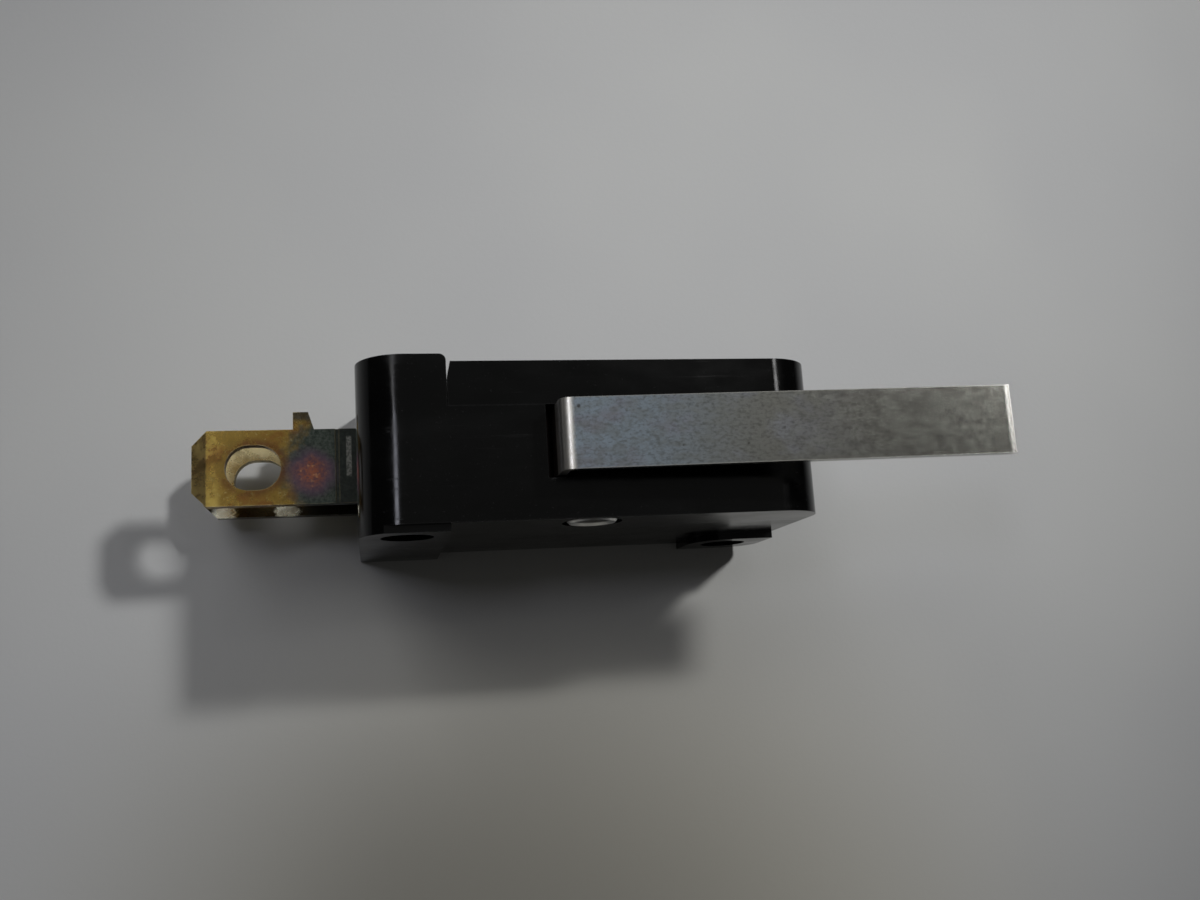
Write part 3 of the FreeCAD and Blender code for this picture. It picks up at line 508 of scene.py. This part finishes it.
# How far each piece's sharp edges are rounded.
EDGE_RADIUS = {
    "housing": 0.1 * MM,
    "cover": 0.1 * MM,
    "lever": 0.09 * MM,
    "normally_open_terminal": 0.06 * MM,
    "common_terminal": 0.06 * MM,
    "plunger": 0.08 * MM,
    "case_rivet": 0.05 * MM,
    "pivot_bracket": 0.05 * MM,
    "contact_blade": 0.03 * MM,
    "rest_stop": 0.05 * MM,
}
# Faces within this angle of each other count as one flat face, and edges above the other as sharp.
FLAT_ANGLE = math.radians(1.0)
SHARP_ANGLE = math.radians(32)


def round_edges(piece, radius):
    """Merges the flat faces, then rounds the sharp edges between them."""
    merge = piece.modifiers.new("merge_flats", "DECIMATE")
    merge.decimate_type = "DISSOLVE"
    merge.angle_limit = FLAT_ANGLE
    bevel = piece.modifiers.new("soft_edges", "BEVEL")
    bevel.limit_method = "ANGLE"
    bevel.angle_limit = SHARP_ANGLE
    bevel.width = radius
    bevel.segments = 3
    bevel.miter_outer = "MITER_ARC"


for node, piece in frame["nodes"].items():
    piece.data.materials.clear()
    piece.data.materials.append(MATERIALS[node])
    if node in EDGE_RADIUS:
        round_edges(piece, EDGE_RADIUS[node])

# ---------------------------------------------------------------- the return spring's own mesh


def shorten_return_spring():
    """Gives the return spring its own copy of its mesh."""
    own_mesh(frame["nodes"]["plunger_return_spring"])


shorten_return_spring()

# ---------------------------------------------------------------- floor, lights and camera

SHEET_HALF = 400 * MM
FLAG_PLACE = Vector((104, 51, 136)) * MM
FLAG_RADIUS = 17 * MM
FLAG_SIDES = 32
FLAG_TONES = ((0.01, 0.01, 0.01), (0.02, 0.02, 0.02))
# The key lamp's light is centred here on the sheet, behind the switch, and fades out at its reach.
KEY_TARGET = (18 * MM, 23 * MM, 0)
KEY_REACH = 74 * MM
KEY_RADIUS = 34 * MM

WHITE = (1.0, 1.0, 1.0)
WARM_WHITE = (1.0, 1.0, 0.97)
KEY_WHITE = (1.0, 1.0, 0.98)
BLUE_WHITE = (0.86, 0.88, 1.0)
ROOM_WHITE = (1.0, 0.98, 0.94)
ROOM_STRENGTH = 0.018

# Square lamps: name, direction from the switch, distance, width, power in watts and colour.
PANELS = (
    ("fill_back_left", (-0.5, 0.62, 1.0), 0.45, 0.2, 0.28, WHITE),
    ("ceiling", (0.05, 0.2, 1.0), 0.6, 0.6, 0.16, WARM_WHITE),
    ("rim_back", (0.1, 1.0, 0.25), 0.5, 0.2, 0.05, WARM_WHITE),
    ("glint_left", (-0.45, 0.165, 1.0), 0.4, 0.05, 0.07, BLUE_WHITE),
    ("glint_right", (0.59, 0.27, 1.0), 0.4, 0.02, 0.02, WHITE),
)

CAMERA_PLACE = Vector((-13.11, -13.14, 80.14)) * MM
CAMERA_TURN = Euler([math.radians(turn) for turn in (11.387, -10.901, -3.538)])
CAMERA_LENS = 34.3
CAMERA_SENSOR = 36.0
CAMERA_NEAR = 1 * MM


def make_floor():
    """A wide sheet at the level of the case's bottom face."""
    half = SHEET_HALF
    corners = [(-half, -half, 0), (half, -half, 0), (half, half, 0), (-half, half, 0)]
    mesh = bpy.data.meshes.new("floor")
    mesh.from_pydata(corners, [], [(0, 1, 2, 3)])
    mesh.materials.append(paper())
    floor = bpy.data.objects.new("floor", mesh)
    bpy.context.scene.collection.objects.link(floor)


def aim(lamp, direction, distance, target):
    """Stands a lamp off in a direction from its target and turns it to face that target."""
    towards = Vector(direction).normalized()
    lamp.location = Vector(target) + towards * distance
    lamp.rotation_euler = towards.to_track_quat("Z", "Y").to_euler()
    bpy.context.scene.collection.objects.link(lamp)


def soft_panel(name, direction, distance, width, power, colour):
    """A square lamp that faces the switch from a direction."""
    data = bpy.data.lights.new(name, "AREA")
    data.size = width
    data.energy = power
    data.color = colour
    aim(bpy.data.objects.new(name, data), direction, distance, (0, 0, 0))


def soft_spot(name, direction, distance, power, colour):
    """The key lamp: round, with light that fades away from its target."""
    data = bpy.data.lights.new(name, "SPOT")
    data.shadow_soft_size = KEY_RADIUS
    data.spot_size = 2.0 * math.atan(KEY_REACH / distance)
    data.spot_blend = 1.0
    data.energy = power
    data.color = colour
    aim(bpy.data.objects.new(name, data), direction, distance, KEY_TARGET)


def flag_card():
    """Dull near-black card with a faint weave."""
    shader = Shader("flag_card")
    shader.colour = shader.mix(shader.spread(shader.noise(2 * MM), 0.3, 0.7), *FLAG_TONES)
    return shader.finish(0.9)


def make_flag():
    """A dark round card that softens the key lamp's light on the front of the sheet."""
    turns = [2.0 * math.pi * step / FLAG_SIDES for step in range(FLAG_SIDES)]
    corners = [(FLAG_RADIUS * math.cos(turn), FLAG_RADIUS * math.sin(turn), 0) for turn in turns]
    mesh = bpy.data.meshes.new("flag")
    mesh.from_pydata(corners, [], [tuple(range(FLAG_SIDES))])
    mesh.materials.append(flag_card())
    flag = bpy.data.objects.new("flag", mesh)
    flag.location = FLAG_PLACE
    flag.visible_camera = False
    flag.visible_glossy = False
    bpy.context.scene.collection.objects.link(flag)


def make_world(colour, strength):
    world = bpy.data.worlds.new("room")
    world.use_nodes = True
    background = world.node_tree.nodes["Background"]
    background.inputs["Color"].default_value = (*colour, 1.0)
    background.inputs["Strength"].default_value = strength
    bpy.context.scene.world = world


def make_camera():
    """Stands above and in front of the case's left end, looking down at its middle."""
    data = bpy.data.cameras.new("camera")
    data.lens = CAMERA_LENS
    data.sensor_width = CAMERA_SENSOR
    data.clip_start = CAMERA_NEAR
    camera = bpy.data.objects.new("camera", data)
    camera.location = CAMERA_PLACE
    camera.rotation_euler = CAMERA_TURN
    bpy.context.scene.collection.objects.link(camera)
    bpy.context.scene.camera = camera


make_floor()
soft_spot("key_back_right", (0.77, 0.525, 1.0), 0.6, 8.6, KEY_WHITE)
for panel in PANELS:
    soft_panel(*panel)
make_flag()
make_world(ROOM_WHITE, ROOM_STRENGTH)
make_camera()
bpy.context.scene.view_settings.view_transform = "Standard"
